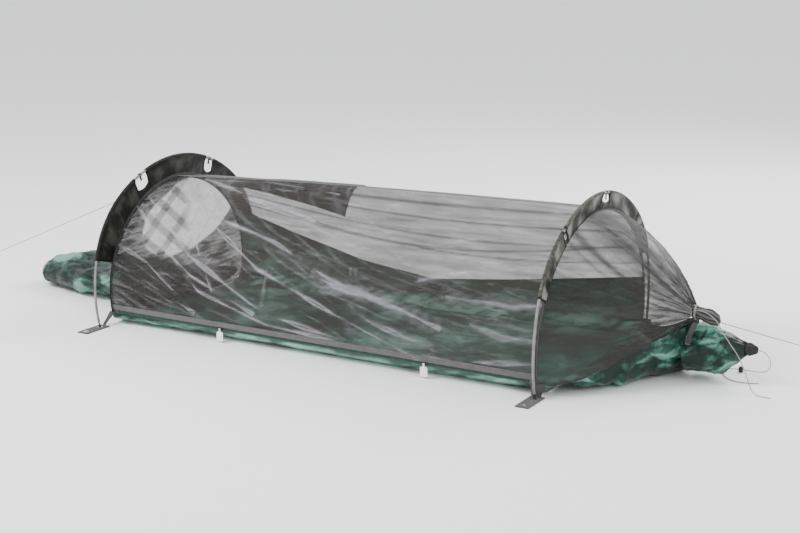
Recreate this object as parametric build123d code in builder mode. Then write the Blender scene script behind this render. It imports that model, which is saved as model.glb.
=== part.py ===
from build123d import *
import os
from math import acos, cos, degrees, pi, radians, sin, tan

# Gathered-end bivy sack, pitched on the ground on two hoop poles.
# X runs from head to foot, the zipped side faces -Y, Z is up and the floor lies on Z = 0.
os.makedirs("parts", exist_ok=True)

# ---- Driving dimensions, mm -------------------------------------------------
head_x = -848  # plane of the head hoop
foot_x = 968  # plane of the foot hoop
half_length = 1545  # from the origin to either gathered end

# hoop curve: crown, shoulder and leg arcs, each given by radius and the turn where it ends
crown_radius, crown_turn = 610, 36
shoulder_radius, shoulder_turn = 375, 73
leg_radius = 510
hoop_top = 596  # top of the pole's centre line
pivot_z = 7.6  # centre of the ball on each pole tip

pole_r, pole_wall = 4.75, 0.8
ferrule_length = 80
joint_turn = 29  # turn where a pole section ends
shock_r = 1.3
tip_ball_r, tip_neck_r = 6.0, 3.2

sleeve_r, sleeve_bore = 7.2, 5.3
web_thick = 2.0
head_sleeve_depth = 80
foot_sleeve_depth = 48
head_sleeve_turns = ((26, 76), (-18, 19), (-76, -23))
foot_sleeve_turns = ((30, 66), (-3, 28.5), (-66, -8.5))
head_hook_turns = (22.5, -20.5)
foot_hook_turns = (-5.8,)

fabric = 1.0  # thickness of every net and cloth sheet
edge_gap = 3.0  # from a hoop's plane to the sheets sewn beside it

rim_z = 45  # top of the floor's turned-up wall
hem_z = 56  # lower edge of the zipped net
hem_head, hem_foot = 425, 475  # half width at the hem, at each hoop
floor_head, floor_foot = 360, 405  # half width on the ground
band_height = 25
ridge_head, ridge_mid, ridge_foot = 514, 543, 545

tab_width, tab_length, tab_thick = 50, 130, 2.0
flange_thick = 0.8
cord_r = 1.5


def save(piece, name):
    """Labels a finished piece and writes it to its own STEP file."""
    piece.part.label = name
    export_step(piece.part, f"parts/{name}.step")


# ---- Hoop geometry ----------------------------------------------------------
def hoop_arcs():
    """(centre y, centre z, radius, first turn, last turn) of the arcs, far foot to near foot.

    A turn is the direction's angle from level, 0 at the top and positive on the near side."""
    y = -crown_radius * sin(radians(crown_turn))
    z = hoop_top - crown_radius * (1 - cos(radians(crown_turn)))
    shoulder_y = y + shoulder_radius * sin(radians(crown_turn))
    shoulder_z = z - shoulder_radius * cos(radians(crown_turn))
    y = shoulder_y - shoulder_radius * sin(radians(shoulder_turn))
    z = shoulder_z + shoulder_radius * cos(radians(shoulder_turn))
    leg_y = y + leg_radius * sin(radians(shoulder_turn))
    leg_z = z - leg_radius * cos(radians(shoulder_turn))
    end = degrees(acos((pivot_z - leg_z) / leg_radius))
    near = [
        (shoulder_y, shoulder_z, shoulder_radius, crown_turn, shoulder_turn),
        (leg_y, leg_z, leg_radius, shoulder_turn, end),
    ]
    far = [(-cy, cz, r, -last, -first) for cy, cz, r, first, last in reversed(near)]
    crown = (0, hoop_top - crown_radius, crown_radius, -crown_turn, crown_turn)
    return [*far, crown, *near]


arcs = hoop_arcs()
leg_turn = arcs[-1][4]
foot_y = leg_radius * sin(radians(leg_turn)) - arcs[-1][0]  # half width between pole tips


def hoop_point(turn):
    """Centre line of the pole at a turn, as (y, z)."""
    for cy, cz, r, first, last in arcs:
        if first <= turn <= last:
            return cy - r * sin(radians(turn)), cz + r * cos(radians(turn))
    return None


def hoop_path(x, first, last):
    """Wire along the pole's centre line between two turns."""
    with BuildLine(Plane.YZ.offset(x)) as path:
        for cy, cz, r, start, end in arcs:
            low, high = max(first, start), min(last, end)
            if high - low > 0.01:
                CenterArc((cy, cz), r, 90 + low, high - low)
    return path.wire()


def hoop_plane(x, turn):
    """Plane across the pole at a turn: local x along +X, local y outward."""
    y, z = hoop_point(turn)
    along = (0, -cos(radians(turn)), -sin(radians(turn)))
    return Plane(origin=(x, y, z), x_dir=(1, 0, 0), z_dir=along)


def pole_tube(x, first, last, outer, inner):
    """Tube along the hoop between two turns."""
    with BuildPart() as tube:
        with BuildSketch(hoop_plane(x, first)):
            Circle(outer)
            if inner:
                Circle(inner, mode=Mode.SUBTRACT)
        sweep(path=hoop_path(x, first, last))
    return tube


def sleeve(x, first, last, depth):
    """Cloth pole sleeve: a tube round the pole with a flat web on its inner side."""
    with BuildPart() as cloth:
        with BuildSketch(hoop_plane(x, first)):
            Circle(sleeve_r)
            with Locations((0, -depth / 2)):
                Rectangle(web_thick, depth)
            Circle(sleeve_bore, mode=Mode.SUBTRACT)
        sweep(path=hoop_path(x, first, last))
    return cloth


def pole_tips(x):
    """Ball-ended tips plugged into both ends of a hoop."""
    neck_length = 24
    with BuildPart() as tips:
        for side in (-1, 1):
            tip = (x, side * foot_y, pivot_z)
            lean = (0, side * sin(radians(leg_turn - 90)), cos(radians(leg_turn - 90)))
            with BuildSketch(Plane(origin=tip, z_dir=lean)):
                Circle(tip_neck_r)
            extrude(amount=neck_length)
            with Locations(tip):
                Sphere(tip_ball_r)
    return tips


def pole_hooks(x, turns):
    """Open plastic hooks snapped round the bare pole in the sleeve's gaps."""
    hook_wall, hook_length, tongue = 2.2, 9, 20
    with BuildPart() as hooks:
        for turn in turns:
            plane = hoop_plane(x, turn)
            with BuildSketch(plane.offset(-hook_length / 2)):
                Circle(pole_r + 0.3 + hook_wall)
                with Locations((0, -tongue / 2 - pole_r)):
                    Rectangle(hook_wall, tongue)
                Circle(pole_r + 0.3, mode=Mode.SUBTRACT)
                with Locations((pole_r + 2, 0)):
                    Rectangle(6, 5, mode=Mode.SUBTRACT)
            extrude(amount=hook_length)
    return hooks


end_turn = leg_turn - degrees(14 / leg_radius)  # pole tube stops 14 mm above the ball
plug_turn = leg_turn - degrees(27 / leg_radius)  # shock cord stops at the plug
half_ferrule = degrees(ferrule_length / 2 / crown_radius)
hoops = (
    ("head", head_x, head_sleeve_depth, head_sleeve_turns, head_hook_turns),
    ("foot", foot_x, foot_sleeve_depth, foot_sleeve_turns, foot_hook_turns),
)
for end_name, x, depth, sleeve_turns, hook_turns in hoops:
    sections = (
        ("near", joint_turn, end_turn),
        ("crown", -joint_turn, joint_turn),
        ("far", -end_turn, -joint_turn),
    )
    for (side, first, last), (low, high) in zip(sections, sleeve_turns, strict=True):
        bore_r = pole_r - pole_wall
        save(pole_tube(x, first, last, pole_r, bore_r), f"{end_name}_pole_{side}")
        save(sleeve(x, low, high, depth), f"{end_name}_sleeve_{side}")

    with BuildPart() as ferrules:
        for turn in (-joint_turn, joint_turn):
            low, high = turn - half_ferrule, turn + half_ferrule
            outer = pole_r - pole_wall - 0.05
            add(pole_tube(x, low, high, outer, outer - 0.7).part)
    save(ferrules, f"{end_name}_pole_ferrules")
    save(pole_tube(x, -plug_turn, plug_turn, shock_r, 0), f"{end_name}_shock_cord")
    save(pole_tips(x), f"{end_name}_pole_tips")
    save(pole_hooks(x, hook_turns), f"{end_name}_pole_hooks")


# ---- Net and cloth sheets ---------------------------------------------------
def arch_half(side, half_width, low_z, top_z, full, thick):
    """Closed band on one side, from its edge at low_z to the middle at top_z, above or below."""
    bulge, rise, run = full
    inside = -thick if top_z > low_z else thick
    outer = [
        (side * half_width, low_z),
        (side * half_width * (1 + bulge), low_z + rise * (top_z - low_z)),
        (side * half_width * run, top_z),
        (0, top_z),
    ]
    inner = [
        (side * (half_width - thick), low_z),
        (side * (half_width * (1 + bulge) - thick), low_z + rise * (top_z - low_z)),
        (side * half_width * run, top_z + inside),
        (0, top_z + inside),
    ]
    with BuildSketch() as band:
        with BuildLine():
            Bezier(*outer)
            Line(outer[-1], inner[-1])
            Bezier(*inner[::-1])
            Line(inner[0], outer[0])
        make_face()
    return band.sketch


hoop_full = (0.12, 0.55, 0.58)  # the arch's shape beside a hoop
slack_full = (0.05, 0.50, 0.50)  # and half way, where the sheet pulls in
mid_x = (head_x + foot_x) / 2


def canopy_half(side, low_z, proud):
    """Half of the sheet between the hoops, standing proud of its own surface by a distance."""
    stations = (
        (head_x + edge_gap, hem_head, ridge_head, hoop_full),
        (mid_x, (hem_head + hem_foot) / 2, ridge_mid, slack_full),
        (foot_x - edge_gap, hem_foot, ridge_foot, hoop_full),
    )
    with BuildPart() as sheet:
        for x, half_width, top_z, full in stations:
            with BuildSketch(Plane.YZ.offset(x)):
                add(arch_half(side, half_width + proud, low_z, top_z + proud, full, fabric))
        loft()
    return sheet.part


with BuildPart() as near_net_panel:
    add(canopy_half(-1, hem_z, 0))
save(near_net_panel, "near_net_panel")

far_half = canopy_half(1, rim_z + 1, 0)
wall_top = (
    (head_x - 20, 345),
    (-560, 240),
    (-240, 150),
    (80, 106),
    (420, 140),
    (foot_x + 20, 214),
)
hood_ridge_x, hood_eave_x, hood_eave_y = 40, -320, 400
outside = 700  # beyond every sheet


def side_region(below):
    """Sketch of the side view below or above the top edge of the far cloth wall."""
    level = 0 if below else outside
    with BuildSketch() as region:
        with BuildLine():
            Spline(*wall_top)
            Polyline(
                wall_top[-1],
                (wall_top[-1][0], level),
                (wall_top[0][0], level),
                wall_top[0],
            )
        make_face()
    return region.sketch


def hood_region():
    """Sketch of the plan view on the head side of the hood's slanting edge."""
    slope = (hood_eave_x - hood_ridge_x) / hood_eave_y
    with BuildSketch() as region:
        with BuildLine():
            Polyline(
                (hood_ridge_x - slope * 50, -50),
                (hood_ridge_x + slope * outside, outside),
                (head_x - outside, outside),
                (head_x - outside, -50),
                close=True,
            )
        make_face()
    return region.sketch


with BuildPart() as far_side_wall:
    add(far_half)
    with BuildSketch(Plane.XZ):
        add(side_region(True))
    extrude(amount=outside, both=True, mode=Mode.INTERSECT)
save(far_side_wall, "far_side_wall")

with BuildPart() as hood_panel:
    add(far_half)
    with BuildSketch(Plane.XZ):
        add(side_region(False))
    extrude(amount=outside, both=True, mode=Mode.INTERSECT)
    with BuildSketch():
        add(hood_region())
    extrude(amount=outside, mode=Mode.INTERSECT)
save(hood_panel, "hood_panel")

with BuildPart() as far_net_panel:
    add(far_half)
    with BuildSketch(Plane.XZ):
        add(side_region(False))
    extrude(amount=outside, both=True, mode=Mode.INTERSECT)
    with BuildSketch():
        add(hood_region())
    extrude(amount=outside, mode=Mode.SUBTRACT)
save(far_net_panel, "far_net_panel")

proud = 1.6
tape_width = 16
with BuildPart() as ridge_seam_tape:
    add(canopy_half(-1, hem_z, proud))
    add(canopy_half(1, hem_z, proud))
    with Locations((mid_x, 0, hoop_top)):
        Box(2 * half_length, tape_width, 400, mode=Mode.INTERSECT)
save(ridge_seam_tape, "ridge_seam_tape")

with BuildPart() as near_hem_band:
    add(canopy_half(-1, hem_z, proud))
    with Locations((mid_x, -outside / 2, hem_z + band_height / 2)):
        Box(2 * half_length, outside, band_height, mode=Mode.INTERSECT)
save(near_hem_band, "near_hem_band")

end_width, end_low, end_top = hem_head - 10, rim_z + 5, ridge_head - 4
end_rise = end_top - end_low
with BuildPart() as head_end_net:
    with BuildSketch(Plane.YZ.offset(head_x - fabric / 2)):
        with BuildLine():
            Line((-end_width, end_low), (end_width, end_low))
            for side in (1, -1):
                Bezier(
                    (side * end_width, end_low),
                    (side * end_width * (1 + hoop_full[0]), end_low + hoop_full[1] * end_rise),
                    (side * end_width * hoop_full[2], end_top),
                    (0, end_top),
                )
        make_face()
    extrude(amount=fabric)
save(head_end_net, "head_end_net")

neck_x, neck_z, neck_r = 1322, 226, 21
with BuildPart() as foot_end_net:
    stations = (
        (foot_x + edge_gap, hem_foot - 12, rim_z + 2, ridge_foot, hoop_full),
        (1130, 345, 80, 464, slack_full),
        (1240, 200, 150, 357, slack_full),
        (neck_x - 1, 40, 196, 250, slack_full),
    )
    for x, half_width, low_z, top_z, full in stations:
        with BuildSketch(Plane.YZ.offset(x)):
            add(arch_half(-1, half_width, low_z, top_z, full, fabric))
            add(arch_half(1, half_width, low_z, top_z, full, fabric))
    loft()
save(foot_end_net, "foot_end_net")

# ---- Floor, tails and gathers -----------------------------------------------
floor_thick, foot_lap = 1.6, 4
floor_ends = (
    (head_x + edge_gap, floor_head, hem_head),
    (foot_x - edge_gap, floor_foot, hem_foot),
)


def floor_wall(side):
    """Turned-up wall along one side of the floor."""
    with BuildPart() as wall:
        for x, floor_y, rim_y in floor_ends:
            with BuildSketch(Plane.YZ.offset(x)):
                Polygon(
                    (side * floor_y, 0),
                    (side * rim_y, rim_z),
                    (side * (rim_y - 2.2), rim_z),
                    (side * (floor_y - foot_lap), floor_thick),
                    (side * (floor_y - foot_lap), 0),
                    align=None,
                )
        loft(ruled=True)
    return wall.part


with BuildPart() as floor_tub:
    with BuildSketch():
        Polygon(
            (floor_ends[0][0], -floor_head),
            (floor_ends[1][0], -floor_foot),
            (floor_ends[1][0], floor_foot),
            (floor_ends[0][0], floor_head),
            align=None,
        )
    extrude(amount=floor_thick)
    add(floor_wall(-1))
    add(floor_wall(1))
save(floor_tub, "floor_tub")

# x, half width at the edge, edge height and lowest z of the cloth under the foot net
trough_full = (0.02, 0.55, 0.72)
with BuildPart() as foot_trough:
    for x, half_width, edge_z, low in (
        (foot_x - edge_gap + 0.5, hem_foot, rim_z, 0),
        (1130, 345, 78, 0),
        (1240, 200, 148, 8),
        (1318, 72, 190, 22),
    ):
        with BuildSketch(Plane.YZ.offset(x)):
            for side in (-1, 1):
                add(arch_half(side, half_width, edge_z, low, trough_full, 1.5))
    loft()
save(foot_trough, "foot_trough")

# x, half width, lowest z, highest z of the gathered cloth
head_tail_stations = (
    (head_x - edge_gap, 395, 0, 100),
    (-960, 265, 0, 112),
    (-1110, 200, 0, 126),
    (-1370, 138, 0, 140),
    (-1500, 108, 2, 118),
    (-half_length, 60, 12, 88),
)
foot_tail_stations = (
    (1320, 112, 22, 178),
    (1360, 104, 24, 180),
    (1430, 74, 34, 172),
    (1506, 22, 100, 144),
)


def tail_shell(stations, wall):
    """Gathered cloth tail: a thin shell, open towards the sack and closed at its end."""
    outward = 1 if stations[-1][0] > stations[0][0] else -1
    solids = []
    for inset in (0, wall):
        with BuildPart() as solid:
            for n, (x, half_width, low, high) in enumerate(stations):
                shift = {0: -outward, len(stations) - 1: -outward * wall}.get(n, 0) if inset else 0
                with BuildSketch(Plane.YZ.offset(x + shift)):
                    with Locations((0, (low + high) / 2)):
                        Ellipse(half_width - inset, (high - low) / 2 - inset)
            loft(ruled=True)
        solids.append(solid.part)
    with BuildPart() as shell:
        add(solids[0])
        add(solids[1], mode=Mode.SUBTRACT)
    return shell


save(tail_shell(head_tail_stations, 1.5), "head_tail")
save(tail_shell(foot_tail_stations, 1.5), "foot_tail")

with BuildPart() as head_gather_cord:
    with BuildSketch(Plane.XZ):
        with Locations((12 - half_length, 50 + 30)):
            Circle(2)
    revolve(axis=Axis((0, 0, 50), (1, 0, 0)))
save(head_gather_cord, "head_gather_cord")

cuff_length, cuff_z = 38, 122
with BuildPart() as foot_gather_cuff:
    with BuildSketch(Plane.XZ):
        with BuildLine():
            Polyline(
                (1507, cuff_z),
                (1507, cuff_z + 20),
                (1518, cuff_z + 22),
                (half_length - 3, cuff_z + 13),
                (half_length, cuff_z + 10),
                (half_length, cuff_z),
                close=True,
            )
        make_face()
    revolve(axis=Axis((0, 0, cuff_z), (1, 0, 0)))
save(foot_gather_cuff, "foot_gather_cuff")

gather_stations = ((neck_x, neck_z, neck_r), (1346, 223, neck_r), (1385, 215, 25), (1413, 204, 17))
with BuildPart() as net_gather_tail:
    for x, z, radius in gather_stations:
        with BuildSketch(Plane.YZ.offset(x)):
            with Locations((0, z)):
                Circle(radius)
    loft()
save(net_gather_tail, "net_gather_tail")

tie_x, tie_turns = 1327, 3
with BuildPart() as net_gather_tie:
    for turn in range(tie_turns):
        x = tie_x + turn * 1.8 * cord_r
        with BuildSketch(Plane.XZ):
            with Locations((x, neck_z - 1 + neck_r + 1.4 + cord_r)):
                Circle(cord_r)
        revolve(axis=Axis((0, 0, neck_z - 1), (1, 0, 0)))
save(net_gather_tie, "net_gather_tie")

with BuildPart() as gather_tab:
    with BuildSketch(Plane.YZ.offset(1331)):
        with BuildLine():
            Polyline(
                (-28, 200),
                (-60, 190),
                (-92, 172),
                (-116, 140),
                (-118, 141),
                (-94, 174),
                (-61, 192),
                (-28, 202),
                close=True,
            )
        make_face()
    extrude(amount=20)
save(gather_tab, "gather_tab")

# ---- Zip along the near hem -------------------------------------------------
zip_z = 50
hem_length = foot_x - head_x - 2 * edge_gap
zip_plane = Plane(
    origin=(mid_x, -(hem_head + hem_foot) / 2, zip_z),
    x_dir=(hem_length, hem_head - hem_foot, 0),
    z_dir=(0, 0, 1),
)
zip_length = 1740
tape_inner, tape_outer = 1.6, 4.9
coil_size, coil_split = 3.0, 1.1  # the two rows, and the slot the sliders' posts run in

with BuildPart(zip_plane) as zip_tapes:
    for side in (-1, 1):
        with Locations((0, 0, side * (tape_inner + tape_outer) / 2)):
            Box(zip_length, 0.9, tape_outer - tape_inner)
save(zip_tapes, "zip_tapes")

with BuildPart(zip_plane) as zip_coil:
    Box(zip_length, coil_size, coil_size)
    fillet(zip_coil.edges().filter_by(lambda e: e.length > zip_length - 1), 0.8)
    Box(zip_length, coil_size, coil_split, mode=Mode.SUBTRACT)
save(zip_coil, "zip_coil")

with BuildPart(zip_plane) as zip_stops:
    with Locations(((-zip_length / 2 - 3, 0, 0), ((zip_length / 2 + 3), 0, 0))):
        Box(5, 4, 9)
    fillet(zip_stops.edges(), 0.6)
save(zip_stops, "zip_stops")

plate_length, plate_height = 20, 9.2
post_length, post_thick = 10, 0.5
front_gap, plate_thick = 0.4, 2.2
bail_y = -(coil_size / 2 + front_gap + plate_thick + 3.5)
bar_r, cheek = 1.0, 1.6
cheek_gap = 7.0
pull_length, pull_width, pull_thick = 45, 28, 2.4
slider_places = (("head", -384), ("foot", 483))

for end_name, along in slider_places:
    at_slider = Plane(zip_plane.location * Location((along, 0, 0)))
    with BuildPart(at_slider) as slider:
        front = -(coil_size / 2 + front_gap + plate_thick / 2)
        with Locations((0, front, 0)):
            Box(plate_length, plate_thick, plate_height)
        with Locations((0, coil_size / 2 + front_gap + 0.9, 0)):
            Box(plate_length, 1.8, plate_height)
        fillet(slider.edges().filter_by(Axis.Z), 0.7)
        Box(post_length, coil_size + 2 * front_gap + plate_thick, post_thick)
        outer_face = front - plate_thick / 2
        for side in (-1, 1):
            with Locations((side * (cheek_gap + cheek) / 2, (outer_face + bail_y - 1.8) / 2, 0)):
                Box(cheek, outer_face - bail_y + 1.8, 4)
        with Locations((0, bail_y, 0)):
            Cylinder(bar_r, cheek_gap + cheek, rotation=(0, 90, 0))
    save(slider, f"zip_slider_{end_name}")

    bail = Plane(zip_plane.location * Location((along, bail_y, 0)))
    face = Plane(origin=bail.origin, x_dir=bail.x_dir, z_dir=-bail.y_dir)
    across = Plane(origin=bail.origin, x_dir=bail.y_dir, z_dir=bail.x_dir)
    with BuildPart() as pull:
        with BuildSketch(face):
            with Locations((0, -6)):
                Rectangle(cheek_gap - 1, 12)
            with Locations((0, -10 - (pull_length - 10) / 2)):
                RectangleRounded(pull_width, pull_length - 10, 6)
        extrude(amount=pull_thick / 2, both=True)
        with BuildSketch(across):
            Circle(2.6)
        extrude(amount=(cheek_gap - 1) / 2, both=True)
        with BuildSketch(across):
            Circle(bar_r + 0.3)
        extrude(amount=cheek_gap, both=True, mode=Mode.SUBTRACT)
    save(pull, f"zip_pull_{end_name}")

# ---- Corner webbing, stake tabs and grommets --------------------------------
stake_reach = 78  # from the pole tip out to the stake hole
hole_r, stake_r = 5.2, 5.5
corners = [(x, side) for x in (head_x, foot_x) for side in (-1, 1)]
tab_low = flange_thick
tab_high = flange_thick + tab_thick

with BuildPart() as stake_tabs:
    for x, side in corners:
        with BuildSketch(Plane.XY.offset(tab_low)):
            with Locations((x, side * (foot_y - 30 + tab_length / 2))):
                RectangleRounded(tab_width, tab_length, 4)
            with Locations((x, side * foot_y), (x, side * (foot_y + stake_reach))):
                Circle(hole_r + 1.3, mode=Mode.SUBTRACT)
        extrude(amount=tab_thick)
save(stake_tabs, "stake_tabs")


def eyelets(distance, bore):
    """Metal eyelets through the four tabs, at a distance out from the origin's plane."""
    with BuildPart() as rings:
        for x, side in corners:
            centre = (x, side * distance)
            for low, high, outer in (
                (0, tab_low, 11),
                (tab_low, tab_high, hole_r + 1.2),
                (tab_high, tab_high + 1, 11),
            ):
                with BuildSketch(Plane.XY.offset(low)):
                    with Locations(centre):
                        Circle(outer)
                        Circle(bore, mode=Mode.SUBTRACT)
                extrude(amount=high - low)
    return rings


save(eyelets(foot_y, hole_r), "pole_grommets")
save(eyelets(foot_y + stake_reach, stake_r), "stake_eyelets")

strap_width, strap_thick = 38, 1.6
with BuildPart() as corner_straps:
    for x, side in corners:
        rim_y = hem_head if x == head_x else hem_foot
        top_y, top_z = rim_y + 3.5, rim_z + 3
        low_y = max(foot_y - 28, top_y + 5)
        low_z = tab_high + 0.2
        with BuildSketch(Plane.YZ.offset(x - strap_width / 2)):
            with BuildLine():
                Polyline(
                    (side * top_y, top_z),
                    (side * (top_y + strap_thick), top_z),
                    (side * (low_y + strap_thick), low_z),
                    (side * low_y, low_z),
                    close=True,
                )
            make_face()
        extrude(amount=strap_width)
save(corner_straps, "corner_straps")

loop_width, loop_gap, loop_drop, loop_wall = 12, 6, 34, 1.4
loop_top_z, loop_y = 118, 404
with BuildPart() as gear_loops:
    for x in (-282, -258):
        with Locations((x, loop_y, loop_top_z - loop_drop / 2)):
            Box(loop_width, loop_gap + 2 * loop_wall, loop_drop)
            Box(loop_width + 2, loop_gap, loop_drop - 2 * loop_wall, mode=Mode.SUBTRACT)
save(gear_loops, "gear_loops")

# ---- Cords ------------------------------------------------------------------
def corner_radii(points):
    """Radius at each corner whose arc takes up 0.45 of the shorter run beside it."""
    radii = []
    for before, here, after in zip(points, points[1:], points[2:], strict=False):
        run_in = Vector(*here) - Vector(*before)
        run_out = Vector(*after) - Vector(*here)
        turn = radians(run_in.get_angle(run_out))
        radii.append(0.45 * min(run_in.length, run_out.length) / tan(turn / 2))
    return radii


def cord(name, points):
    """Round cord along straight runs joined by tangent arcs."""
    radii = corner_radii(points)
    with BuildPart() as line:
        with BuildLine() as path:
            if radii:
                FilletPolyline(*points, radius=radii)
            else:
                Line(*points)
        wire = path.wire()
        with BuildSketch(Plane(origin=wire @ 0, z_dir=wire % 0)):
            Circle(cord_r)
        sweep(path=wire)
    section = pi * cord_r**2
    share = line.part.volume / section / wire.length
    tight = min(radii) if radii else 0
    print(f"{name}: {wire.length:.0f} mm, volume share {share:.3f}, smallest radius {tight:.1f}")
    save(line, name)


def end_loop(name, knot, tip):
    """Tied loop at the far end of a guy line, with its knot."""
    away = (Vector(*tip) - Vector(*knot)).normalized()
    flat = Plane(origin=knot, x_dir=away, z_dir=Vector(0, 1, 0).cross(away))
    length = (Vector(*tip) - Vector(*knot)).length
    with BuildPart() as loop:
        with BuildLine(flat) as path:
            Bezier((4, 0), (length * 0.7, 22), (length * 1.15, 22), (length * 1.15, 0))
            Bezier((length * 1.15, 0), (length * 1.15, -22), (length * 0.7, -22), (4, 0))
        with BuildSketch(Plane(origin=path.wire() @ 0, z_dir=path.wire() % 0)):
            Circle(cord_r)
        sweep(path=path.wire())
        with BuildSketch(Plane(origin=Vector(*knot) - away * 4, z_dir=away)):
            Circle(3.4)
        extrude(amount=12)
    save(loop, name)


head_guy_route = ((head_x - 29, 0, 504.5), (-1452, 0, 262), (-2026, 0, 22))
foot_guy_route = ((1414.5, 0, 200), (1566, 0, 175.5), (1728, 0, 151.5))
cord("head_guy_line", head_guy_route)
cord("foot_guy_line", foot_guy_route)
end_loop("head_guy_knot", (-2031, 0, 20), (-2073, 0, 9))
end_loop("foot_guy_knot", (1733, 0, 150.8), (1780, 0, 143.5))

with BuildPart() as head_guy_loop:
    with BuildSketch(Plane.XZ):
        with Locations((head_x - 15, 505)):
            SlotOverall(26, 12)
            SlotOverall(23, 9, mode=Mode.SUBTRACT)
    extrude(amount=6, both=True)
save(head_guy_loop, "head_guy_loop")

tie_cord_route = (
    (1330, -27, 236),
    (1352, -38, 243),
    (1378, -46, 240),
    (1403, -55, 231),
    (1428, -68, 214),
    (1449, -82, 188),
    (1474, -90, 160),
    (1500, -90, 128),
    (1520, -86, 92),
    (1535, -84, 54),
    (1548, -90, 22),
    (1566, -104, 5),
    (1592, -118, 1.8),
    (1626, -116, 1.7),
)
cord("tie_cord", tie_cord_route)

lock_x, lock_y, lock_cord_z = 1452, 130, 9
tip_cord_route = (
    (half_length, 0, cuff_z),
    (1560, 0, cuff_z),
    (1574, 10, 108),
    (1580, 26, 88),
    (1576, 52, 62),
    (1562, 84, 36),
    (1542, 112, 18),
    (1514, 128, 9.6),
    (1478, 130, 9.0),
    (1426, 129.5, 9.0),
    (1404, 120, 6.0),
    (1400, 96, 2.4),
    (1410, 68, 1.8),
    (1428, 40, 1.7),
    (1452, 16, 1.6),
    (1486, 6, 1.7),
    (1520, 12, 1.6),
    (1548, 24, 1.6),
)
cord("tip_cord", tip_cord_route)

barrel_r, barrel_low, barrel_high = 8.0, 0.5, 16
cavity_r, cavity_low = 5.4, 2.0
plunger_r, plunger_low, plunger_high = 5.1, 5.0, 20
press = 2.5
with BuildPart() as cord_lock_barrel:
    with BuildSketch(Plane.XY.offset(barrel_low)):
        with Locations((lock_x, lock_y)):
            Circle(barrel_r)
    extrude(amount=barrel_high - barrel_low)
    with BuildSketch(Plane.XY.offset(cavity_low)):
        with Locations((lock_x, lock_y)):
            Circle(cavity_r)
    extrude(amount=barrel_high, mode=Mode.SUBTRACT)
    with Locations((lock_x, lock_y, lock_cord_z)):
        Cylinder(2.4, 4 * barrel_r, rotation=(0, 90, 0), mode=Mode.SUBTRACT)
save(cord_lock_barrel, "cord_lock_barrel")

with BuildPart() as cord_lock_button:
    with BuildSketch(Plane.XY.offset(plunger_low)):
        with Locations((lock_x, lock_y)):
            Circle(plunger_r)
    extrude(amount=plunger_high - plunger_low)
    with Locations((lock_x, lock_y, lock_cord_z + press / 2)):
        Box(4 * barrel_r, 4.8, press + 4.0, mode=Mode.SUBTRACT)
save(cord_lock_button, "cord_lock_button")

with BuildPart() as cord_lock_spring:
    with BuildSketch(Plane.XY.offset(cavity_low)):
        with Locations((lock_x, lock_y)):
            Circle(4.4)
            Circle(3.4, mode=Mode.SUBTRACT)
    extrude(amount=plunger_low - cavity_low)
save(cord_lock_spring, "cord_lock_spring")

print("half width between pole tips", round(foot_y, 2), "leg turn", round(leg_turn, 2))
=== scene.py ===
import functools
import math
import random

import bpy
import numpy as np
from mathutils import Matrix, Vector, noise


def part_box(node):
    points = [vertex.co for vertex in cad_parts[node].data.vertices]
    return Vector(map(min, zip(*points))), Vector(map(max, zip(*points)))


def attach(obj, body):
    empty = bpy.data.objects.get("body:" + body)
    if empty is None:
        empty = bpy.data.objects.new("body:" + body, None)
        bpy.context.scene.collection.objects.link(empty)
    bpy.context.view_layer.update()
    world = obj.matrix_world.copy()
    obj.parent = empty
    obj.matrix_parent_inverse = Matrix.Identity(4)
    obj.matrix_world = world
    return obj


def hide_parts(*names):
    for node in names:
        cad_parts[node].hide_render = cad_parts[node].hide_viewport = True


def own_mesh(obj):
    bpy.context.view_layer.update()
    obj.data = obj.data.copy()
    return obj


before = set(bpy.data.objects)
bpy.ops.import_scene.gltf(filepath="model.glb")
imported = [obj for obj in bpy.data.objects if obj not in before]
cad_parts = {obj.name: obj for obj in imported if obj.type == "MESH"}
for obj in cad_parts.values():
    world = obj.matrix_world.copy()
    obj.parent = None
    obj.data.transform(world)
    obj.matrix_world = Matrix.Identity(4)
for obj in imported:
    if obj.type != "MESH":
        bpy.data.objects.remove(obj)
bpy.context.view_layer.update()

# ---- Camera and hoop positions ----------------------------------------------
scene = bpy.context.scene
camera_data = bpy.data.cameras.new("camera")
camera_data.lens = 67.65
camera_data.sensor_width = 36
camera = bpy.data.objects.new("camera", camera_data)
camera.location = (2.89, -4.746, 1.481)
aim = Vector((0.182, 0, 0.255)) - camera.location
camera.rotation_euler = aim.to_track_quat("-Z", "Y").to_euler()
scene.collection.objects.link(camera)
scene.camera = camera

head_x = sum(corner[0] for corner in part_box("head_pole_crown")) / 2
foot_x = sum(corner[0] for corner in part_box("foot_pole_crown")) / 2
TURN = 2 * math.pi
LOWEST = 0.0008  # cloth above the ground


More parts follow.
